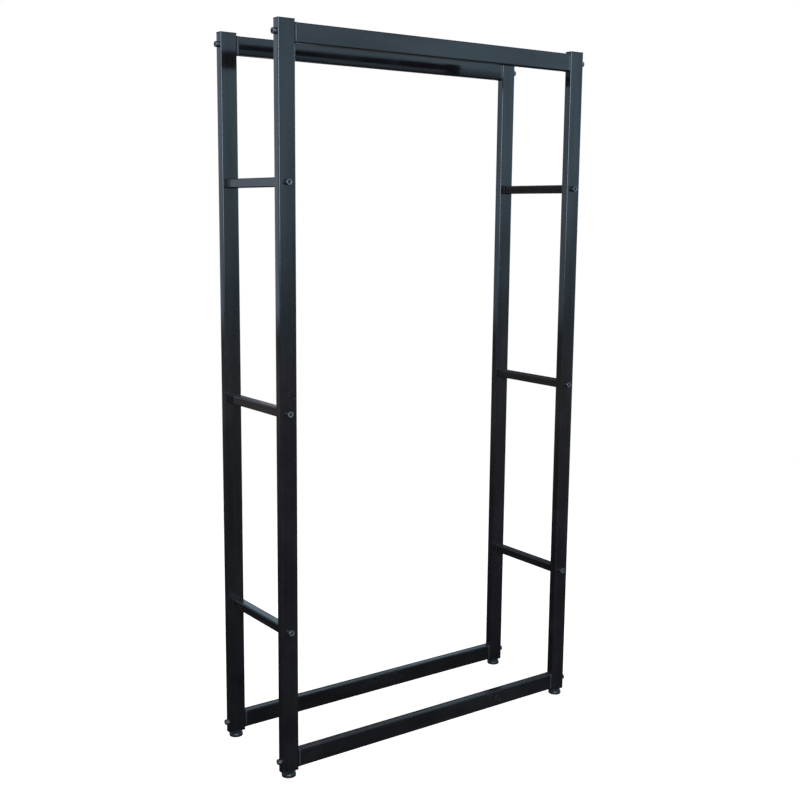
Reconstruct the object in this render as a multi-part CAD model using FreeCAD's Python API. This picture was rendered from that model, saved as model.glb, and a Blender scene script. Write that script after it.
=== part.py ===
import FreeCAD, Part
import math
import os

# A firewood rack of steel tube: four uprights, four rails and six rungs, bolted together, with a
# plastic cap on each upright and a levelling foot under it. Millimetres, +Z up. The origin is on
# the floor under the middle of the rack, X runs from left to right and Y from front to rear.

# Frame, over the outer faces of the uprights
frame_width = 1050.0
frame_depth = 335.0
upright_length = 2000.0

# Upright tube
upright_face = 50.0             # along X
upright_side = 25.0             # along Y
upright_wall = 1.5
upright_corner = 3.0            # outer corner radius

# Rail tube, as deep as the uprights so that their faces are flush
rail_height = 50.0
rail_wall = 1.5
rail_corner = 3.0
rail_setback = 5.0              # from the end of an upright to the rail

# Rung tube, square
rung_size = 25.0
rung_wall = 1.5
rung_corner = 3.0
rung_heights = {"lower": 400.0, "middle": 1000.0, "upper": 1600.0}    # centre, above the upright's end

# Bolted joints: a plate closes the end of each rail and rung, with a threaded boss behind it
plate_thickness = 4.0
boss_wall = 3.0
boss_length = 8.0
bolt_diameter = 10.0
bolt_head_diameter = 16.0
bolt_head_height = 10.0
bolt_head_edge = 0.8            # rounding of the head's rim
bolt_socket_width = 8.0         # across flats
bolt_socket_depth = 5.0
bolt_tip_length = 3.0           # beyond the boss
bolt_tip_chamfer = 1.0
bolt_hole_clearance = 0.25      # on the radius
thread_clearance = 0.05         # on the radius

# Plastic plugs in both ends of an upright
lip_overhang = 0.4              # beyond the tube's faces
cap_lip_thickness = 3.0
cap_lip_edge = 1.2
cap_depth = 15.0
cap_wall = 2.0
insert_lip_thickness = 2.5
insert_lip_edge = 0.6
insert_depth = 18.0
plug_relief = 0.8               # between the plug's core and the tube, on each side
plug_clearance = 0.05           # between the plug's fins and the tube, on each side
fin_thickness = 1.2
fin_spacing = 6.0

# Levelling foot: a threaded stud that turns in a swivel pad
pad_diameter = 40.0
pad_height = 14.0
pad_shoulder = 8.0              # rounding of the upper edge
pad_sole_edge = 0.8
pad_sole_thickness = 4.0
pad_key_hole = 9.0              # lets a hex key reach the stud
pad_to_insert = 1.0             # gap when the foot is screwed right in
stud_diameter = 10.0
stud_head_diameter = 16.0
stud_head_thickness = 4.0
stud_head_play = 0.1            # round the head in its pocket
stud_bore_clearance = 0.05      # on the radius
stud_socket_width = 6.0         # across flats
stud_socket_depth = 5.0
stud_tip_gap = 2.0              # from the stud to the rail bolt above it
stud_tip_chamfer = 1.0

# Places that follow from the sizes above
upright_bottom = pad_height + pad_to_insert + insert_lip_thickness
upright_top = upright_bottom + upright_length
upright_x = (frame_width - upright_face) / 2
upright_y = (frame_depth - upright_side) / 2
rail_levels = {
    "bottom": upright_bottom + rail_setback + rail_height / 2,
    "top": upright_top - rail_setback - rail_height / 2,
}
rung_levels = {name: upright_bottom + height for name, height in rung_heights.items()}
rail_span = frame_width - 2 * upright_face
rung_span = frame_depth - 2 * upright_side
sides = {"left": -1, "right": 1}
rows = {"front": -1, "rear": 1}

along_x = FreeCAD.Vector(1, 0, 0)
along_y = FreeCAD.Vector(0, 1, 0)
along_z = FreeCAD.Vector(0, 0, 1)


def rounded_bar(size_x, size_y, corner, length):
    # A bar along +Z from the origin, with its four long edges rounded
    bar = Part.makeBox(size_x, size_y, length, FreeCAD.Vector(-size_x / 2, -size_y / 2, 0))
    long_edges = [edge for edge in bar.Edges if abs(edge.tangentAt(edge.FirstParameter).z) > 0.9]
    return bar.makeFillet(corner, long_edges)


def tube(size_x, size_y, corner, wall, length):
    outer = rounded_bar(size_x, size_y, corner, length)
    inner = rounded_bar(size_x - 2 * wall, size_y - 2 * wall, corner - wall, length)
    return outer.cut(inner)


def rod(radius, start, length):
    return Part.makeCylinder(radius, length, FreeCAD.Vector(0, 0, start))


def hexagon(width, start, length):
    # A hexagonal bar along +Z, given by its width across flats
    radius = width / math.sqrt(3)
    corners = [
        FreeCAD.Vector(radius * math.cos(math.radians(60 * k)), radius * math.sin(math.radians(60 * k)), start)
        for k in range(6)
    ]
    outline = Part.makePolygon(corners + corners[:1])
    return Part.Face(outline).extrude(along_z * length)


def edges_at_level(shape, level):
    return [
        edge for edge in shape.Edges
        if all(abs(vertex.Z - level) < 1e-6 for vertex in edge.Vertexes)
    ]


def turned(shape, direction, position):
    # The shape with its own +Z turned to the direction, and its own origin at the position
    result = shape.copy()
    rotation = FreeCAD.Rotation(along_z, direction)
    result.Placement = FreeCAD.Placement(position, rotation)
    return result


def laid_along_x(shape, position):
    # The shape's own Z runs along X and its own X runs along Z
    result = shape.copy()
    result.Placement = FreeCAD.Placement(position, FreeCAD.Rotation(along_y, 90))
    return result


def laid_along_y(shape, position):
    result = shape.copy()
    result.Placement = FreeCAD.Placement(position, FreeCAD.Rotation(along_x, -90))
    return result


def bolt_hole(axis, position, length):
    # A cutter for a hole, centred on the position
    radius = bolt_diameter / 2 + bolt_hole_clearance
    return turned(rod(radius, -length / 2, length), axis, position)


def upright(side, row):
    body = tube(upright_face, upright_side, upright_corner, upright_wall, upright_length)
    body.translate(FreeCAD.Vector(side * upright_x, row * upright_y, upright_bottom))
    for level in rail_levels.values():
        centre = FreeCAD.Vector(side * upright_x, row * upright_y, level)
        body = body.cut(bolt_hole(along_x, centre, 2 * upright_face))
    for level in rung_levels.values():
        centre = FreeCAD.Vector(side * upright_x, row * upright_y, level)
        body = body.cut(bolt_hole(along_y, centre, 2 * upright_side))
    return body


def rail(row, level):
    length = rail_span - 2 * plate_thickness
    body = tube(rail_height, upright_side, rail_corner, rail_wall, length)
    return laid_along_x(body, FreeCAD.Vector(-length / 2, row * upright_y, level))


def rung(side, level):
    length = rung_span - 2 * plate_thickness
    body = tube(rung_size, rung_size, rung_corner, rung_wall, length)
    return laid_along_y(body, FreeCAD.Vector(side * upright_x, -length / 2, level))


def end_plate(size_x, size_y, corner):
    # A plate with a bolt hole, its outer face at z = 0 and its thickness below
    plate = rounded_bar(size_x, size_y, corner, plate_thickness)
    plate.translate(along_z * -plate_thickness)
    return plate.cut(bolt_hole(along_z, FreeCAD.Vector(0, 0, 0), 4 * plate_thickness))


def rail_end_plates(row, level):
    plate = end_plate(rail_height, upright_side, rail_corner)
    right = laid_along_x(plate, FreeCAD.Vector(rail_span / 2, row * upright_y, level))
    return Part.makeCompound([right, right.mirror(FreeCAD.Vector(0, 0, 0), along_x)])


def rung_end_plates(side, level):
    plate = end_plate(rung_size, rung_size, rung_corner)
    rear = laid_along_y(plate, FreeCAD.Vector(side * upright_x, rung_span / 2, level))
    return Part.makeCompound([rear, rear.mirror(FreeCAD.Vector(0, 0, 0), along_y)])


def threaded_boss():
    # Seated on the plate's inner face at z = -plate_thickness
    start = -plate_thickness - boss_length
    boss = rod(bolt_diameter / 2 + boss_wall, start, boss_length)
    return boss.cut(rod(bolt_diameter / 2 + thread_clearance, start - 1, boss_length + 2))


def socket_bolt(grip):
    # The head stands on z = 0, and the shank runs down through the grip and the boss
    length = grip + boss_length + bolt_tip_length
    head = rod(bolt_head_diameter / 2, 0, bolt_head_height)
    head = head.makeFillet(bolt_head_edge, edges_at_level(head, bolt_head_height))
    head = head.cut(hexagon(bolt_socket_width, bolt_head_height - bolt_socket_depth, 2 * bolt_socket_depth))
    shank = rod(bolt_diameter / 2, -length, length)
    shank = shank.makeChamfer(bolt_tip_chamfer, edges_at_level(shank, -length))
    return head.fuse(shank)


def rail_joint_places(outer):
    # Each rail's end: the direction out of the rack, and the seat on the upright's face
    reach = frame_width / 2 if outer else rail_span / 2
    return [
        (FreeCAD.Vector(side, 0, 0), FreeCAD.Vector(side * reach, row * upright_y, level))
        for side in sides.values() for row in rows.values() for level in rail_levels.values()
    ]


def rung_joint_places(outer):
    reach = frame_depth / 2 if outer else rung_span / 2
    return [
        (FreeCAD.Vector(0, row, 0), FreeCAD.Vector(side * upright_x, row * reach, level))
        for side in sides.values() for row in rows.values() for level in rung_levels.values()
    ]


def set_of(shape, places):
    return Part.makeCompound([turned(shape, direction, seat) for direction, seat in places])


def tube_plug(lip_thickness, lip_edge, depth):
    # The lip stands on the tube's end at z = 0, and the finned core hangs below it
    lip = rounded_bar(
        upright_face + 2 * lip_overhang,
        upright_side + 2 * lip_overhang,
        upright_corner + lip_overhang,
        lip_thickness,
    )
    plug = lip.makeFillet(lip_edge, edges_at_level(lip, lip_thickness))
    inner_corner = upright_corner - upright_wall
    slabs = [(plug_relief, -depth, depth)]
    for k in (1, 2):
        slabs.append((plug_clearance, -k * fin_spacing, fin_thickness))
    for gap, start, length in slabs:
        slab = rounded_bar(
            upright_face - 2 * (upright_wall + gap),
            upright_side - 2 * (upright_wall + gap),
            inner_corner,
            length,
        )
        slab.translate(along_z * start)
        plug = plug.fuse(slab)
    return plug.removeSplitter()


def top_cap(side, row):
    # Hollow below, as a moulded cap is
    plug = tube_plug(cap_lip_thickness, cap_lip_edge, cap_depth)
    margin = upright_wall + plug_relief + cap_wall
    hollow = rounded_bar(
        upright_face - 2 * margin, upright_side - 2 * margin, upright_corner - upright_wall, cap_depth
    )
    hollow.translate(along_z * -cap_depth)
    return turned(plug.cut(hollow), along_z, FreeCAD.Vector(side * upright_x, row * upright_y, upright_top))


def foot_insert(side, row):
    plug = tube_plug(insert_lip_thickness, insert_lip_edge, insert_depth)
    reach = 2 * (insert_lip_thickness + insert_depth)
    plug = plug.cut(rod(stud_diameter / 2 + stud_bore_clearance, -reach / 2, reach))
    position = FreeCAD.Vector(side * upright_x, row * upright_y, upright_bottom)
    return turned(plug, along_z * -1, position)


def foot_pad(side, row):
    pad = rod(pad_diameter / 2, 0, pad_height)
    pad = pad.makeFillet(pad_shoulder, edges_at_level(pad, pad_height))
    pad = pad.makeFillet(pad_sole_edge, edges_at_level(pad, 0))
    pad = pad.cut(rod(pad_key_hole / 2, -1, pad_sole_thickness + 2))
    pocket_depth = stud_head_thickness + stud_head_play
    pad = pad.cut(rod(stud_head_diameter / 2 + stud_head_play, pad_sole_thickness, pocket_depth))
    pad = pad.cut(rod(stud_diameter / 2 + stud_bore_clearance, pad_sole_thickness, pad_height))
    pad.translate(FreeCAD.Vector(side * upright_x, row * upright_y, 0))
    return pad


def foot_stud(side, row):
    top = rail_levels["bottom"] - bolt_diameter / 2 - stud_tip_gap
    shank = rod(stud_diameter / 2, pad_sole_thickness, top - pad_sole_thickness)
    shank = shank.makeChamfer(stud_tip_chamfer, edges_at_level(shank, top))
    stud = shank.fuse(rod(stud_head_diameter / 2, pad_sole_thickness, stud_head_thickness))
    stud = stud.cut(hexagon(stud_socket_width, pad_sole_thickness - 1, stud_socket_depth + 1))
    stud.translate(FreeCAD.Vector(side * upright_x, row * upright_y, 0))
    return stud


def build_nodes():
    nodes = {}
    for row_name, row in rows.items():
        for side_name, side in sides.items():
            corner = row_name + "_" + side_name
            nodes[corner + "_upright"] = upright(side, row)
            nodes[corner + "_top_cap"] = top_cap(side, row)
            nodes[corner + "_foot_insert"] = foot_insert(side, row)
            nodes[corner + "_foot_pad"] = foot_pad(side, row)
            nodes[corner + "_foot_stud"] = foot_stud(side, row)
        for level_name, level in rail_levels.items():
            name = row_name + "_" + level_name + "_rail"
            nodes[name] = rail(row, level)
            nodes[name + "_end_plates"] = rail_end_plates(row, level)
    for side_name, side in sides.items():
        for level_name, level in rung_levels.items():
            name = side_name + "_" + level_name + "_rung"
            nodes[name] = rung(side, level)
            nodes[name + "_end_plates"] = rung_end_plates(side, level)
    boss = threaded_boss()
    nodes["rail_threaded_bosses"] = set_of(boss, rail_joint_places(False))
    nodes["rung_threaded_bosses"] = set_of(boss, rung_joint_places(False))
    rail_bolt = socket_bolt(upright_face + plate_thickness)
    rung_bolt = socket_bolt(upright_side + plate_thickness)
    nodes["rail_bolts"] = set_of(rail_bolt, rail_joint_places(True))
    nodes["rung_bolts"] = set_of(rung_bolt, rung_joint_places(True))
    return nodes


os.makedirs("parts", exist_ok=True)
for node_name, node_shape in build_nodes().items():
    node_shape.exportStep(os.path.join("parts", node_name + ".step"))
    print(node_name, len(node_shape.Solids), round(node_shape.Volume / 1000, 2), "cm3")
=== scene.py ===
import math
import bmesh
import bpy
from mathutils import Matrix, Vector, noise


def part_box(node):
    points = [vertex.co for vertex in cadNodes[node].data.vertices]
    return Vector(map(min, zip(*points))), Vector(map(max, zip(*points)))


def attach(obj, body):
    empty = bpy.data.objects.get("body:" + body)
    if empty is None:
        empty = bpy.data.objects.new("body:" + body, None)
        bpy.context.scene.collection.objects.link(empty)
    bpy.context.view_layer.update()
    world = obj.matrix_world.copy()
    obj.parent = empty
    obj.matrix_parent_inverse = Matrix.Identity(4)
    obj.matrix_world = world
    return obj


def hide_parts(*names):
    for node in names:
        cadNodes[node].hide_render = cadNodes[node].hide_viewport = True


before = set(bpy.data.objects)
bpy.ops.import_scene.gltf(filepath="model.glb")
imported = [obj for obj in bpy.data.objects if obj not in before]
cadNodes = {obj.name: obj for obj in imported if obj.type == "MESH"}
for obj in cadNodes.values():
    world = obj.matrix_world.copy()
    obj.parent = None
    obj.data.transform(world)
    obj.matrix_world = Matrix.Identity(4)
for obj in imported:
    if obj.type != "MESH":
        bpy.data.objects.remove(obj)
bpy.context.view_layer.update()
print("frame loaded:", len(cadNodes), "nodes")


# Shader maths on sockets

class Wire:
    # A socket that can stand in a sum; node() adds any other kind of node

    def __init__(self, tree, socket=None):
        self.tree = tree
        self.socket = socket

    def node(self, kind, settings=None, inputs=None, output=0):
        made = self.tree.nodes.new(kind)
        for name, value in (settings or {}).items():
            if name == "stops":
                fillRamp(made.color_ramp, value)
            else:
                setattr(made, name, value)
        for key, value in (inputs or {}).items():
            if isinstance(value, Wire):
                self.tree.links.new(value.socket, made.inputs[key])
            else:
                made.inputs[key].default_value = value
        return Wire(self.tree, made.outputs[output] if made.outputs else None)

    def maths(self, operation, *values):
        return self.node("ShaderNodeMath", {"operation": operation}, dict(enumerate(values)))

    def __add__(self, other):
        return self.maths("ADD", self, other)

    def __radd__(self, other):
        return self.maths("ADD", other, self)

    def __sub__(self, other):
        return self.maths("SUBTRACT", self, other)

    def __rsub__(self, other):
        return self.maths("SUBTRACT", other, self)

    def __mul__(self, other):
        return self.maths("MULTIPLY", self, other)

    def __rmul__(self, other):
        return self.maths("MULTIPLY", other, self)

    def __truediv__(self, other):
        return self.maths("DIVIDE", self, other)

    def __abs__(self):
        return self.maths("ABSOLUTE", self)

    def largest(self, other):
        return self.maths("MAXIMUM", self, other)

    def root(self):
        return self.maths("SQRT", self)

    def wrapped(self, low, high):
        return self.maths("WRAP", self, high, low)

    def step(self, low, high):
        # 0 below low, 1 above high, smooth between
        return self.node(
            "ShaderNodeMapRange",
            {"interpolation_type": "SMOOTHSTEP"},
            {"Value": self, "From Min": low, "From Max": high, "To Min": 0.0, "To Max": 1.0},
        )

    def parts(self):
        split = self.node("ShaderNodeSeparateXYZ", {}, {0: self})
        outputs = split.socket.node.outputs
        return [Wire(self.tree, outputs[k]) for k in range(3)]

    def speckle(self, scale, detail=2.0, stretch=(1, 1, 1), roughness=0.5):
        # Noise over the point; scale is in features per metre
        moved = self.node("ShaderNodeMapping", {}, {"Vector": self, "Scale": stretch})
        return self.node(
            "ShaderNodeTexNoise",
            {"noise_dimensions": "3D"},
            {"Vector": moved, "Scale": scale, "Detail": detail, "Roughness": roughness},
        )

    def tint(self, low, high):
        # A colour that goes from low to high with the value
        return self.node(
            "ShaderNodeMix",
            {"data_type": "RGBA"},
            {0: self, 6: asColour(low), 7: asColour(high)},
            output=2,
        )


def asColour(value):
    return value if isinstance(value, Wire) else (*value, 1.0)


def fillRamp(ramp, stops):
    # stops: place and colour, from left to right
    while len(ramp.elements) > 1:
        ramp.elements.remove(ramp.elements[-1])
    ramp.elements[0].position = stops[0][0]
    ramp.elements[0].color = (*stops[0][1], 1.0)
    for place, colour in stops[1:]:
        element = ramp.elements.new(place)
        element.color = (*colour, 1.0)


def startMaterial(name):
    material = bpy.data.materials.new(name)
    material.use_nodes = True
    tree = material.node_tree
    tree.nodes.clear()
    wire = Wire(tree)
    point = wire.node("ShaderNodeTexCoord", output="Object")
    return material, point


def closeMaterial(point, inputs, height, ior=1.5):
    # height is in millimetres
    bump = point.node("ShaderNodeBump", {}, {"Height": height, "Strength": 1.0, "Distance": 0.001})
    shader = point.node("ShaderNodeBsdfPrincipled", {}, {"IOR": ior, **inputs, "Normal": bump})
    point.node("ShaderNodeOutputMaterial", {}, {"Surface": shader})


def facing(point):
    # How far the surface faces up, then 1 on the rounding between two square faces and 0 on the faces
    x, y, z = point.node("ShaderNodeTexCoord", output="Normal").parts()
    flat = abs(x).largest(abs(y)).largest(abs(z))
    return z, (1.0 - flat).step(0.02, 0.26)


# Black coat of the steel

coatLook = {
    "colour": (0.0080, 0.0066, 0.0070),
    "thinColour": (0.0180, 0.0146, 0.0150),   # patchy, where the coat is thinner
    "edgeColour": (0.050, 0.048, 0.050),      # worn along the rounded edges
    "dustColour": (0.115, 0.110, 0.105),
    "roughness": 0.075,
    "dustRoughness": 0.16,
    "edgeWear": 0.35,
    "dust": 0.30,
    "peelHeight": 0.0028,                     # orange peel, millimetres
    "rollHeight": 0.20,                       # long waves left by the tube mill
    "scuffColour": (0.060, 0.058, 0.058),
    "scuffs": 0.5,
}


def blackCoat(name, along, hollow, extraRoughness=0.0, paintedSheen=0.0):
    # along: stretch of the tube's long waves; hollow: gives the sag of each face from the point;
    # paintedSheen: how much paler the coat is all over, a painted sheen standing in for the light that
    # rounded welds catch
    material, point = startMaterial(name)
    x, y, z = point.parts()
    up, edge = facing(point)
    patches = point.speckle(9.0, 4.0).step(0.42, 0.72)
    streaks = point.speckle(70.0, 3.0, along).step(0.40, 0.75)
    specks = point.speckle(420.0, 1.0).step(0.70, 0.80)
    grime = point.speckle(38.0, 5.0, roughness=0.65).step(0.45, 0.80)
    upward = up.step(0.75, 0.98)

    # Short scratches, in a few patches only
    rubbed = point.speckle(6.0, 2.0).step(0.60, 0.70)
    scratch = point.speckle(330.0, 3.0, (0.12, 0.12, 1.0)).step(0.62, 0.70)
    crossScratch = point.speckle(290.0, 3.0, (1.0, 1.0, 0.10)).step(0.64, 0.72)
    scuff = rubbed * scratch.largest(crossScratch) * coatLook["scuffs"]
    wornEdge = edge * point.speckle(55.0, 4.0, roughness=0.7).step(0.45, 0.70) * coatLook["edgeWear"]
    dusty = upward * (0.35 + 0.65 * grime) * coatLook["dust"]
    lint = specks * (0.10 + 0.25 * grime)
    coat = (0.45 * patches + 0.35 * streaks).tint(coatLook["colour"], coatLook["thinColour"])
    coat = wornEdge.tint(coat, coatLook["edgeColour"])
    coat = scuff.tint(coat, coatLook["scuffColour"])
    # Dust and lint tint the coat toward the dust colour; the extra paleness given here is painted sheen
    colour = (dusty + lint + paintedSheen * (0.5 + 0.5 * grime)).tint(coat, coatLook["dustColour"])

    roughness = coatLook["roughness"] + extraRoughness + 0.04 * patches + 0.05 * streaks + 0.04 * grime
    roughness = roughness + 0.20 * scuff + coatLook["dustRoughness"] * dusty + 0.15 * wornEdge

    roll = point.speckle(60.0, 2.0, along)
    peel = point.speckle(520.0, 1.0) + 1.8 * point.speckle(170.0, 1.0)
    height = hollow(x, y, z) + coatLook["rollHeight"] * roll + coatLook["peelHeight"] * peel
    height = height + 0.006 * lint - 0.004 * scuff
    closeMaterial(point, {"Base Color": colour, "Roughness": roughness}, height)
    return material


rackSizes = {
    "uprightX": 0.5,
    "uprightY": 0.155,
    "middle": 1.0175,          # height of the middle rungs
    "railReach": 0.97,         # from the middle rungs to a rail
    "rungStep": 0.6,
    "faceSag": 0.50,           # millimetres, across the 50 mm face
    "sideSag": 0.14,           # millimetres, across the 25 mm face
    "rearRailLean": 56.0,      # the rear top rail looks a little down, millimetres in a metre
    "rearRailBulge": 1.60,     # and its face is fuller than the others
    "rightRungLean": 108.0,    # the upper right rung looks down as well
}


def sag(value, halfWidth, depth):
    part = value / halfWidth
    return depth * (part * part)


def uprightHollow(x, y, z):
    wide = sag(abs(x) - rackSizes["uprightX"], 0.025, rackSizes["faceSag"])
    return wide + sag(abs(y) - rackSizes["uprightY"], 0.0125, rackSizes["sideSag"])


def railHollow(x, y, z):
    wide = sag(abs(z - rackSizes["middle"]) - rackSizes["railReach"], 0.025, rackSizes["faceSag"])
    rearTop = y.step(-0.01, 0.01) * z.step(0.9, 1.1)
    height = z - (rackSizes["middle"] + rackSizes["railReach"])
    lean = height * rackSizes["rearRailLean"] - sag(height, 0.025, rackSizes["rearRailBulge"])
    return wide + rearTop * lean + sag(abs(y) - rackSizes["uprightY"], 0.0125, rackSizes["sideSag"])


def rungHollow(x, y, z):
    half = rackSizes["rungStep"] / 2
    level = (z - rackSizes["middle"]).wrapped(-half, half)
    wide = sag(abs(x) - rackSizes["uprightX"], 0.0125, rackSizes["sideSag"])
    rightUpper = x.step(-0.01, 0.01) * z.step(1.2, 1.4)
    lean = rightUpper * level * rackSizes["rightRungLean"]
    return wide + lean + sag(level, 0.0125, rackSizes["sideSag"])


def noHollow(x, y, z):
    return 0.0


uprightCoat = blackCoat("black coat on the uprights", (1, 1, 0.035), uprightHollow)
railCoat = blackCoat("black coat on the rails", (0.035, 1, 1), railHollow)
rungCoat = blackCoat("black coat on the rungs", (1, 0.06, 1), rungHollow)
plateCoat = blackCoat("black coat on the plates", (1, 1, 1), noHollow, 0.05)
# The welds are made paler all over: painted sheen in place of the light their rounded faces catch
weldCoat = blackCoat("black coat on the welds", (1, 1, 1), noHollow, 0.30, 0.22)
print("coats made")


# Plastics and metals

plasticLook = {
    # colour, colour of the grain, roughness, and grain in features per metre
    "cap": ((0.013, 0.013, 0.015), (0.020, 0.020, 0.022), 0.32, 900.0),
    "insert": ((0.012, 0.012, 0.013), (0.020, 0.020, 0.021), 0.42, 1100.0),
    "pad": ((0.011, 0.012, 0.014), (0.022, 0.022, 0.025), 0.26, 700.0),
}
plasticDust = (0.11, 0.105, 0.10)


def mouldedPlastic(kind):
    plain, grainColour, startRoughness, grainScale = plasticLook[kind]
    material, point = startMaterial("black plastic of the " + kind)
    up, edge = facing(point)
    grain = point.speckle(grainScale)
    cloud = point.speckle(45.0, 4.0).step(0.35, 0.75)
    flow = point.speckle(160.0, 3.0, (1, 1, 0.2))
    dusty = up.step(0.55, 0.98) * point.speckle(130.0, 4.0, roughness=0.7).step(0.42, 0.75)
    rubbed = edge * point.speckle(240.0, 3.0).step(0.5, 0.75)
    colour = cloud.tint(plain, grainColour)
    colour = (0.30 * dusty + 0.12 * rubbed).tint(colour, plasticDust)
    roughness = startRoughness + 0.10 * cloud + 0.25 * dusty + 0.08 * grain
    height = 0.006 * grain + 0.010 * flow
    closeMaterial(point, {"Base Color": colour, "Roughness": roughness}, height, 1.48)
    return material


boltLook = {
    "colour": (0.185, 0.180, 0.182),
    "paleColour": (0.255, 0.248, 0.248),
    "rustColour": (0.110, 0.058, 0.040),
    "socketColour": (0.016, 0.014, 0.014),    # painted shade deep in the socket
    "roughness": 0.40,
}


def blackenedSteel():
    material, point = startMaterial("blackened steel of the bolts")
    cloud = point.speckle(240.0, 4.0).step(0.35, 0.75)
    rusty = point.speckle(420.0, 5.0, roughness=0.7).step(0.56, 0.78)
    turning = point.speckle(900.0, 2.0)
    colour = cloud.tint(boltLook["colour"], boltLook["paleColour"])
    colour = (0.45 * rusty).tint(colour, boltLook["rustColour"])
    metallic = 0.95 - 0.45 * rusty
    roughness = boltLook["roughness"] + 0.10 * cloud + 0.28 * rusty
    height = 0.005 * turning + 0.010 * rusty
    closeMaterial(point, {"Base Color": colour, "Metallic": metallic, "Roughness": roughness}, height)
    return material


def shadedSocket():
    # Near-black inside of the socket: painted shade of the recess, with a few real rust flecks
    material, point = startMaterial("socket of the bolts, painted shade")
    cloud = point.speckle(700.0, 4.0).step(0.35, 0.75)
    colour = (0.4 * cloud * cloud).tint(boltLook["socketColour"], boltLook["rustColour"])
    roughness = 0.55 + 0.25 * cloud
    closeMaterial(point, {"Base Color": colour, "Roughness": roughness}, 0.02 * cloud, 1.45)
    return material


def zincPlate():
    material, point = startMaterial("zinc plate of the studs")
    cloud = point.speckle(190.0, 4.0).step(0.35, 0.70)
    dull = point.speckle(700.0, 3.0)
    colour = cloud.tint((0.56, 0.58, 0.60), (0.44, 0.45, 0.46))
    colour = (0.35 * dull).tint(colour, (0.50, 0.47, 0.40))
    metallic = 0.95 - 0.1 * cloud
    roughness = 0.24 + 0.18 * cloud + 0.10 * dull
    height = 0.006 * dull
    closeMaterial(point, {"Base Color": colour, "Metallic": metallic, "Roughness": roughness}, height)
    return material


def bareSteel():
    material, point = startMaterial("bare steel of the bosses")
    cloud = point.speckle(120.0, 4.0).step(0.35, 0.70)
    turned = point.speckle(600.0)
    colour = cloud.tint((0.36, 0.35, 0.34), (0.22, 0.19, 0.17))
    metallic = 0.95 - 0.2 * cloud
    roughness = 0.38 + 0.22 * cloud
    height = 0.010 * turned
    closeMaterial(point, {"Base Color": colour, "Metallic": metallic, "Roughness": roughness}, height)
    return material


capPlastic = mouldedPlastic("cap")
insertPlastic = mouldedPlastic("insert")
padPlastic = mouldedPlastic("pad")
boltSteel = blackenedSteel()
socketSteel = shadedSocket()
studZinc = zincPlate()
bossSteel = bareSteel()

finishes = [
    ("_end_plates", plateCoat),
    ("_threaded_bosses", bossSteel),
    ("_upright", uprightCoat),
    ("_rail", railCoat),
    ("_rung", rungCoat),
    ("_top_cap", capPlastic),
    ("_foot_insert", insertPlastic),
    ("_foot_pad", padPlastic),
    ("_foot_stud", studZinc),
    ("_bolts", boltSteel),
]
for name, node in cadNodes.items():
    finish = next(material for ending, material in finishes if name.endswith(ending))
    for place in node.material_slots:
        place.material = finish
print("finishes given to the frame")


# New pieces

def addPiece(bm, name, materials, body, sharpAngle=32):
    bmesh.ops.recalc_face_normals(bm, faces=bm.faces[:])
    mesh = bpy.data.meshes.new(name)
    bm.to_mesh(mesh)
    bm.free()
    for face in mesh.polygons:
        face.use_smooth = True
    mesh.set_sharp_from_angle(angle=math.radians(sharpAngle))
    for material in materials:
        mesh.materials.append(material)
    piece = bpy.data.objects.new(name, mesh)
    bpy.context.scene.collection.objects.link(piece)
    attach(piece, body)
    print(name, "made with", len(mesh.polygons), "faces")
    return piece


def newEnds(grown):
    verts = [part for part in grown if isinstance(part, bmesh.types.BMVert)]
    edges = [part for part in grown if isinstance(part, bmesh.types.BMEdge) and part.is_boundary]
    return verts, edges


def setRing(verts, height, radius):
    for vert in verts:
        angle = math.atan2(vert.co.y, vert.co.x)
        reach = radius(angle, height) if callable(radius) else radius
        vert.co = Vector((reach * math.cos(angle), reach * math.sin(angle), height)) / 1000


def ringStack(rings, segments):
    # A turned solid along +Z; each ring is a height and a radius in millimetres
    bm = bmesh.new()
    bmesh.ops.create_circle(bm, segments=segments, radius=0.01, cap_ends=False)
    setRing(bm.verts, *rings[0])
    edges = bm.edges[:]
    for ring in rings[1:]:
        grown = bmesh.ops.extrude_edge_only(bm, edges=edges)["geom"]
        verts, edges = newEnds(grown)
        setRing(verts, *ring)
    bmesh.ops.holes_fill(bm, edges=[edge for edge in bm.edges if edge.is_boundary], sides=0)
    return bm


def intoPlace(bm, source, direction, position, turn):
    # Adds a copy of the source, its +Z turned to the direction
    mesh = bpy.data.meshes.new("copy")
    source.to_mesh(mesh)
    pointed = Vector((0, 0, 1)).rotation_difference(Vector(direction)).to_matrix().to_4x4()
    mesh.transform(Matrix.Translation(position) @ pointed @ Matrix.Rotation(turn, 4, "Z"))
    bm.from_mesh(mesh)
    bpy.data.meshes.remove(mesh)


# Socket head bolts

boltSizes = {
    "shank": 5.0,              # radius, and all of these in millimetres
    "head": 8.0,
    "headHeight": 10.0,
    "rim": 0.8,
    "underHead": 7.3,
    "knurlFrom": 1.0,
    "knurlTo": 7.4,
    "knurlRows": 12,
    "knurlDepth": 0.18,
    "socket": 4.0,             # half the width across flats
    "socketDepth": 5.0,
    "segments": 96,
    "tipChamfer": 1.0,
    "railLength": 65.0,        # under the head
    "rungLength": 40.0,
    "fillet": 0.4,             # under the head
    "rimSteps": 6,             # rings in the rim's quarter circle
    "socketMouth": 0.45,       # how much wider the socket starts
    "drill": 3.4,              # round bottom of the socket
    "drillDepth": 0.9,
    "poleHole": 0.4,           # radius of the last ring
    "firstTurn": 0.37,         # radians, so that the sockets don't line up
    "nextTurn": 1.93,
}


def hexReach(halfWidth):
    def reach(angle, height):
        part = (angle + math.pi / 6) % (math.pi / 3) - math.pi / 6
        return halfWidth / math.cos(part)
    return reach


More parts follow.
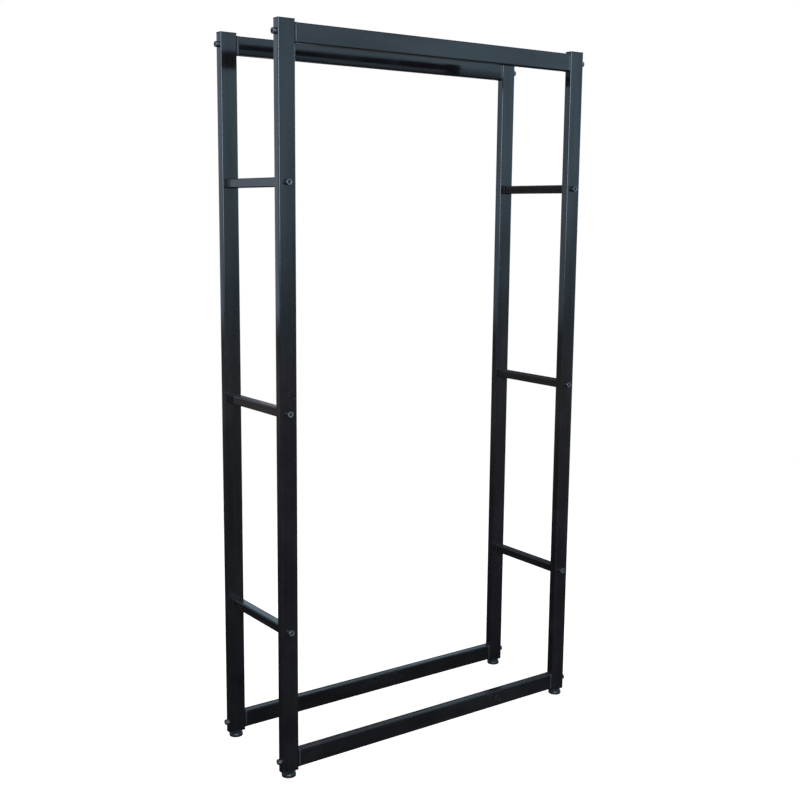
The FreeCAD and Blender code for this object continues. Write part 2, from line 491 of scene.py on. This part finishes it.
def socketBolt(length):
    size = boltSizes
    rowHeight = (size["knurlTo"] - size["knurlFrom"]) / size["knurlRows"]
    toothAngle = 2 * math.pi / size["segments"]

    def knurl(angle, height):
        row = round((height - size["knurlFrom"]) / rowHeight)
        tooth = round(angle / toothAngle)
        return size["head"] - size["knurlDepth"] * ((row + tooth) % 2)

    shank = size["shank"]
    rings = [(-length, shank - size["tipChamfer"]), (-length + size["tipChamfer"], shank)]
    rings += [(-size["fillet"], shank), (0.0, shank + size["fillet"])]
    rings += [(0.0, size["underHead"]), (0.55, size["head"] - 0.12)]
    for row in range(size["knurlRows"] + 1):
        rings.append((size["knurlFrom"] + row * rowHeight, knurl))
    rings.append((size["knurlTo"] + 0.35, size["head"] - 0.05))
    for part in range(size["rimSteps"] + 1):
        turn = math.pi / 2 * part / size["rimSteps"]
        height = size["headHeight"] - size["rim"] * (1 - math.sin(turn))
        rings.append((height, size["head"] - size["rim"] * (1 - math.cos(turn))))
    rings.append((size["headHeight"], size["socket"] / math.cos(math.pi / 6) + size["socketMouth"]))
    rings.append((size["headHeight"] - 0.35, hexReach(size["socket"] + 0.06)))
    rings.append((size["headHeight"] - 0.7, hexReach(size["socket"])))
    bottom = size["headHeight"] - size["socketDepth"]
    rings += [(bottom, hexReach(size["socket"])), (bottom, size["drill"])]
    rings.append((bottom - size["drillDepth"], size["poleHole"]))
    bm = ringStack(rings, size["segments"])
    # Faces inside the socket take the second material, which paints the shade of the recess
    reach = 1.2 * size["socket"] / 1000
    for face in bm.faces:
        centre = face.calc_center_median()
        if centre.xy.length < reach and 0.001 < centre.z < 0.001 * size["headHeight"] - 0.0002:
            face.material_index = 1
    return bm


def boltSet(name, places, length, node):
    bm = bmesh.new()
    bolt = socketBolt(length)
    for count, (direction, position) in enumerate(places):
        turn = boltSizes["firstTurn"] + boltSizes["nextTurn"] * count
        intoPlace(bm, bolt, direction, position, turn)
    bolt.free()
    piece = addPiece(bm, name, [boltSteel, socketSteel], "frame")
    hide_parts(node)


def boxMiddle(node):
    # The middle of a node's box and its size
    low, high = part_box(node)
    return (low + high) / 2, high - low


rows = {"front": -1, "rear": 1}
sides = {"left": -1, "right": 1}
railLevels = ("bottom", "top")
rungLevels = ("lower", "middle", "upper")
cornerMiddle, cornerSize = boxMiddle("front_left_upright")
outerX = cornerSize.x / 2 - cornerMiddle.x
outerY = cornerSize.y / 2 - cornerMiddle.y

railPlaces = []
rungPlaces = []
for sideSign in sides.values():
    for rowName in rows:
        for levelName in railLevels:
            centre = boxMiddle(rowName + "_" + levelName + "_rail")[0]
            railPlaces.append(((sideSign, 0, 0), Vector((sideSign * outerX, centre.y, centre.z))))
for sideName in sides:
    for rowSign in rows.values():
        for levelName in rungLevels:
            centre = boxMiddle(sideName + "_" + levelName + "_rung")[0]
            rungPlaces.append(((0, rowSign, 0), Vector((centre.x, rowSign * outerY, centre.z))))

boltSet("rail_socket_bolts", railPlaces, boltSizes["railLength"], "rail_bolts")
boltSet("rung_socket_bolts", rungPlaces, boltSizes["rungLength"], "rung_bolts")


# Threaded studs of the feet

studSizes = {
    "major": 4.97,             # radius
    "minor": 4.10,
    "pitch": 1.5,
    "steps": 8,                # rings in one pitch
    "runOut": 1.0,             # plain stretch between the head and the thread
    "tip": 1.5,                # plain stretch past the thread
    "segments": 40,
    "head": 8.0,
    "headThickness": 4.0,
    "socket": 3.0,
    "socketDepth": 5.0,
}


def threadReach(angle, height):
    size = studSizes
    part = (height / size["pitch"] - angle / (2 * math.pi)) % 1.0
    wave = min(1.0, max(0.0, 2.4 * abs(part - 0.5) - 0.1))
    return size["minor"] + (size["major"] - size["minor"]) * wave


def threadedStud(name, node, body):
    size = studSizes
    low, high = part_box(node)
    length = 1000 * (high.z - low.z)
    rings = [(size["socketDepth"], 0.4), (size["socketDepth"], hexReach(size["socket"] - 0.01))]
    rings += [(0.3, hexReach(size["socket"])), (0.0, hexReach(size["socket"] + 0.25))]
    rings += [(0.0, size["head"] - 0.4), (0.4, size["head"])]
    rings += [(size["headThickness"] - 0.4, size["head"]), (size["headThickness"], size["head"] - 0.4)]
    rings += [(size["headThickness"], size["major"]), (size["headThickness"] + 0.5, size["minor"] + 0.5)]
    threadFrom = size["headThickness"] + size["runOut"]
    turns = (length - threadFrom - size["tip"]) / size["pitch"]
    for step in range(int(turns * size["steps"])):
        rings.append((threadFrom + step * size["pitch"] / size["steps"], threadReach))
    rings += [(length - 0.9, size["minor"]), (length - 0.2, size["minor"] - 0.5)]
    rings.append((length, size["minor"] - 0.9))
    bm = bmesh.new()
    stud = ringStack(rings, size["segments"])
    centre = (low + high) / 2
    intoPlace(bm, stud, (0, 0, 1), Vector((centre.x, centre.y, low.z)), 0.0)
    stud.free()
    piece = addPiece(bm, name, [studZinc], body, 50)
    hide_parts(node)


for rowName in rows:
    for sideName in sides:
        corner = rowName + "_" + sideName
        threadedStud(corner + "_threaded_stud", corner + "_foot_stud", corner + "_stud")


# Weld beads round the tube ends

weldSizes = {
    "width": 5.4,              # millimetres, as are the others
    "height": 0.85,
    "sunk": 0.3,
    "corner": 3.0,             # the tube's own corner radius
    "segmentLength": 1.1,
    "ripple": 0.30,            # share of the height
    "steps": 8,                # faces across the bead
    "firstSeed": 1.0,          # each bead is lumpy in its own way
    "nextSeed": 3.7,
}


def outlineNormal(point, halfX, halfY, corner):
    # Which way the rounded outline faces at the point
    core = Vector((
        max(-(halfX - corner), min(halfX - corner, point.x)),
        max(-(halfY - corner), min(halfY - corner, point.y)),
        0,
    ))
    away = Vector((point.x, point.y, 0)) - core
    return away.normalized()


def weldBead(halfX, halfY, seed):
    size = weldSizes
    bm = bmesh.new()
    bmesh.ops.create_grid(bm, x_segments=1, y_segments=1, size=1.0)
    bmesh.ops.scale(bm, vec=(halfX, halfY, 1), verts=bm.verts)
    bmesh.ops.bevel(
        bm, geom=bm.verts[:], offset=size["corner"], segments=5, profile=0.5, affect="VERTICES", material=-1
    )
    bmesh.ops.delete(bm, geom=bm.faces[:], context="FACES_ONLY")
    for edge in bm.edges[:]:
        cuts = int(edge.calc_length() / size["segmentLength"])
        if cuts > 1:
            bmesh.ops.subdivide_edges(bm, edges=[edge], cuts=cuts)
    edges = bm.edges[:]
    loops = [bm.verts[:]]
    for step in range(size["steps"]):
        grown = bmesh.ops.extrude_edge_only(bm, edges=edges)["geom"]
        verts, edges = newEnds(grown)
        loops.append(verts)
    for step, verts in enumerate(loops):
        part = step / size["steps"]
        for vert in verts:
            flat = Vector((vert.co.x, vert.co.y, 0))
            outward = outlineNormal(flat, halfX, halfY, size["corner"])
            spot = flat * 0.30 + Vector((seed, 0.6 * seed, 0))
            lump = noise.noise(spot) + 0.6 * noise.noise(spot * 2.6)
            wander = 0.45 * noise.noise(flat * 0.16 + Vector((0, seed, 7)))
            widening = 1 + 0.12 * noise.noise(flat * 0.35 + Vector((seed, 3, 1)))
            across = (part - 0.5) * size["width"] * widening
            dome = math.sin(math.pi * part) ** 0.7 if 0 < part < 1 else 0.0
            rise = size["height"] * dome * (1 + size["ripple"] * lump)
            offset = rise - size["sunk"] * (1 - dome)
            vert.co = flat + offset * outward + Vector((0, 0, across + wander))
    rims = [edge for edge in bm.edges if edge.is_boundary]
    bmesh.ops.bridge_loops(bm, edges=rims)
    bmesh.ops.scale(bm, vec=(0.001, 0.001, 0.001), verts=bm.verts)
    return bm


def weldSet(name, seams):
    # seams: half sizes across in millimetres, direction along the tube, and the seam's centre
    bm = bmesh.new()
    for count, (halfX, halfY, direction, position) in enumerate(seams):
        seed = weldSizes["nextSeed"] * count + weldSizes["firstSeed"]
        bead = weldBead(halfX, halfY, seed)
        intoPlace(bm, bead, direction, position, 0.0)
        bead.free()
    addPiece(bm, name, [weldCoat], "frame", 60)


railSeams = []
rungSeams = []
for rowName in rows:
    for levelName in railLevels:
        centre, size = boxMiddle(rowName + "_" + levelName + "_rail")
        for end in sides.values():
            position = Vector((centre.x + end * size.x / 2, centre.y, centre.z))
            railSeams.append((500 * size.z, 500 * size.y, (end, 0, 0), position))
for sideName in sides:
    for levelName in rungLevels:
        centre, size = boxMiddle(sideName + "_" + levelName + "_rung")
        for end in rows.values():
            position = Vector((centre.x, centre.y + end * size.y / 2, centre.z))
            rungSeams.append((500 * size.x, 500 * size.z, (0, end, 0), position))

weldSet("rail_weld_beads", railSeams)
weldSet("rung_weld_beads", rungSeams)


# Floor, light and camera

studioLook = {
    "floorRadius": 4.0,
    "floorDrop": 0.0155,       # room below the pads for the feet to be screwed out
    "floorColour": (0.90, 0.90, 0.90),
    "floorGlow": (0.86, 0.80, 0.74),
    "lampPower": 48.0,
    "lampSize": (1.1, 1.6),
    "lampPlace": (-1.75, -4.30, 2.15),
    "lampAim": (0.0, 0.0, 1.2),
    "skyStrength": 2.0,
    "backWindow": 5.5,         # behind the camera, as a share of the band
    "rightWindow": 4.5,
    "dimmed": 0.42,            # brightness of the band away from the plain directions
    "nearLeft": 0.7,           # how much brighter these two zones are
    "nearerLeft": 2.6,
    "farRight": 0.7,           # how much dimmer these three are
    "nearMiddle": 0.38,
    "farLeft": 0.28,
    "unevenness": 0.40,
}


def studioFloor():
    bm = bmesh.new()
    bmesh.ops.create_circle(bm, segments=96, radius=studioLook["floorRadius"], cap_ends=True)
    mesh = bpy.data.meshes.new("studio_floor")
    bm.to_mesh(mesh)
    bm.free()
    floor = bpy.data.objects.new("studio_floor", mesh)
    bpy.context.scene.collection.objects.link(floor)
    floor.location.z = -studioLook["floorDrop"]
    material, point = startMaterial("pale floor")
    x, y, z = point.parts()
    fade = 1.0 - (x * x + y * y).root().step(0.9, 0.95 * studioLook["floorRadius"])
    shader = point.node(
        "ShaderNodeBsdfPrincipled",
        {},
        {
            "Base Color": (*studioLook["floorColour"], 1.0),
            "Roughness": 0.9,
            "Specular IOR Level": 0.0,
            "Emission Color": (*studioLook["floorGlow"], 1.0),
            "Emission Strength": 1.0,
            "Alpha": fade,
        },
    )
    point.node("ShaderNodeOutputMaterial", {}, {"Surface": shader})
    mesh.materials.append(material)
    floor.visible_glossy = False
    floor.visible_diffuse = False


def bandStops(levels):
    # levels: sine of the elevation, brightness, and colour balance; a ramp runs from 0 to 1
    stops = []
    for sine, brightness, (red, green, blue) in levels:
        shade = brightness / studioLook["skyStrength"]
        stops.append(((sine + 1) / 2, (shade * red, shade * green, shade * blue)))
    return stops


coolBand = (0.70, 1.03, 1.28)
paleBand = (0.82, 1.0, 1.24)
dimCool = (0.96, 1.0, 1.12)
neutral = (1.0, 1.0, 1.05)
warm = (1.15, 1.0, 0.92)
frontLevels = [
    (-1.0, 0.03, neutral), (-0.42, 0.035, dimCool), (-0.276, 0.085, dimCool), (-0.19, 0.16, dimCool),
    (-0.139, 0.25, dimCool), (-0.078, 0.34, coolBand), (-0.047, 0.60, coolBand), (0.0, 0.88, coolBand),
    (0.06, 1.10, coolBand), (0.33, 1.1, coolBand), (0.39, 0.45, coolBand), (1.0, 0.22, dimCool),
]
leftLevels = [
    (-1.0, 0.03, neutral), (-0.34, 0.04, neutral), (-0.206, 0.12, neutral), (-0.17, 0.27, warm),
    (-0.144, 0.27, warm), (-0.115, 0.14, neutral), (-0.099, 0.12, dimCool), (-0.088, 1.05, paleBand),
    (0.0, 1.2, paleBand), (0.33, 1.15, paleBand), (0.40, 0.40, paleBand), (1.0, 0.22, dimCool),
]
rightLevels = [
    (-1.0, 0.03, neutral), (-0.20, 0.06, neutral), (0.12, 0.06, neutral), (0.17, 0.13, neutral),
    (0.285, 0.13, neutral), (0.315, 0.66, coolBand), (0.385, 0.62, coolBand), (0.397, 0.12, dimCool),
    (1.0, 0.15, dimCool),
]


def studioSky():
    # Bands by height in front, at the rear left and at the rear right, then two bright windows and
    # zones that make single directions brighter or dimmer; all set for this one camera
    world = bpy.data.worlds.new("studio")
    bpy.context.scene.world = world
    world.use_nodes = True
    tree = world.node_tree
    tree.nodes.clear()
    wire = Wire(tree)
    direction = wire.node("ShaderNodeTexCoord", output="Generated")
    x, y, z = direction.parts()
    height = 0.5 + 0.5 * z
    front, left, right = [
        wire.node("ShaderNodeValToRGB", {"stops": bandStops(levels)}, {0: height})
        for levels in (frontLevels, leftLevels, rightLevels)
    ]
    behind = (0.8 * y - 0.58 * x).step(-0.12, 0.12)
    rear = x.step(0.0, 0.3).tint(left, right)
    colour = behind.tint(front, rear)

    band = z.step(-0.09, -0.03) * (1.0 - z.step(0.34, 0.40))
    backWindow = studioLook["backWindow"] * (-0.50 * x - 0.87 * y).step(0.87, 0.93)
    rightWindow = studioLook["rightWindow"] * (0.89 * x + 0.45 * y).step(0.93, 0.96)
    plain = (0.56 * x - 0.83 * y).step(0.86, 0.94).largest((0.81 * y - 0.59 * x).step(0.86, 0.94))
    plain = plain.largest((0.55 * x + 0.84 * y).step(0.80, 0.92)).largest(1.0 - band)
    rightSide = behind * x.step(0.1, 0.3)
    leftSide = behind * (1.0 - x.step(-0.3, -0.1))
    nearLeft = rightSide * (1.0 - (x - 0.6 * y).step(-0.03, 0.03))
    nearerLeft = nearLeft * (x - 0.553 * y).step(-0.006, 0.006) * (1.0 - z.step(0.18, 0.26))
    farRight = rightSide * (x - 0.87 * y).step(-0.02, 0.03)
    nearMiddle = leftSide * (x + 0.53 * y).step(-0.02, 0.02)
    farLeft = leftSide * (-0.80 * y - x).step(-0.03, 0.03)
    uneven = direction.speckle(15.0, 2.0, (1, 1, 0.8)).step(0.32, 0.68)
    look = studioLook
    gain = look["dimmed"] + (1.0 - look["dimmed"]) * plain + band * (backWindow + rightWindow)
    gain = gain * (1.0 + look["nearLeft"] * nearLeft + look["nearerLeft"] * nearerLeft)
    gain = gain * (1.0 - look["farRight"] * farRight) * (1.0 - look["nearMiddle"] * nearMiddle)
    gain = gain * (1.0 - look["farLeft"] * farLeft)
    gain = gain * (1.0 - look["unevenness"] / 2 + look["unevenness"] * uneven) * look["skyStrength"]

    seen = wire.node("ShaderNodeBackground", {}, {"Color": (1.0, 1.0, 1.0, 1.0), "Strength": 1.0})
    lit = wire.node("ShaderNodeBackground", {}, {"Color": colour, "Strength": gain})
    camera = wire.node("ShaderNodeLightPath", output="Is Camera Ray")
    mixed = wire.node("ShaderNodeMixShader", {}, {0: camera, 1: lit, 2: seen})
    wire.node("ShaderNodeOutputWorld", {}, {"Surface": mixed})


def softLamp():
    data = bpy.data.lights.new("soft_lamp", "AREA")
    data.shape = "RECTANGLE"
    data.size, data.size_y = studioLook["lampSize"]
    data.energy = studioLook["lampPower"]
    lamp = bpy.data.objects.new("soft_lamp", data)
    bpy.context.scene.collection.objects.link(lamp)
    place = Vector(studioLook["lampPlace"])
    aim = Vector(studioLook["lampAim"]) - place
    lamp.matrix_world = Matrix.Translation(place) @ aim.to_track_quat("-Z", "Y").to_matrix().to_4x4()


cameraLook = {
    "place": (-2.0351, -2.7966, 1.5464),
    "yaw": 35.77,              # degrees from +Y towards +X
    "pitch": 9.155,            # degrees down
    "roll": 0.524,
    "lens": 52.71,
}


def studioCamera():
    yaw = math.radians(cameraLook["yaw"])
    pitch = math.radians(cameraLook["pitch"])
    roll = math.radians(cameraLook["roll"])
    ahead = Vector((math.sin(yaw) * math.cos(pitch), math.cos(yaw) * math.cos(pitch), -math.sin(pitch)))
    right = Vector((math.cos(yaw), -math.sin(yaw), 0))
    above = right.cross(ahead)
    turnedRight = math.cos(roll) * right + math.sin(roll) * above
    turnedUp = -math.sin(roll) * right + math.cos(roll) * above
    data = bpy.data.cameras.new("camera")
    data.sensor_width = 36.0
    data.lens = cameraLook["lens"]
    camera = bpy.data.objects.new("camera", data)
    bpy.context.scene.collection.objects.link(camera)
    axes = Matrix((turnedRight, turnedUp, -ahead)).transposed().to_4x4()
    camera.matrix_world = Matrix.Translation(Vector(cameraLook["place"])) @ axes
    bpy.context.scene.camera = camera


studioFloor()
studioSky()
softLamp()
studioCamera()
bpy.context.scene.view_settings.view_transform = "Standard"
print("studio ready")
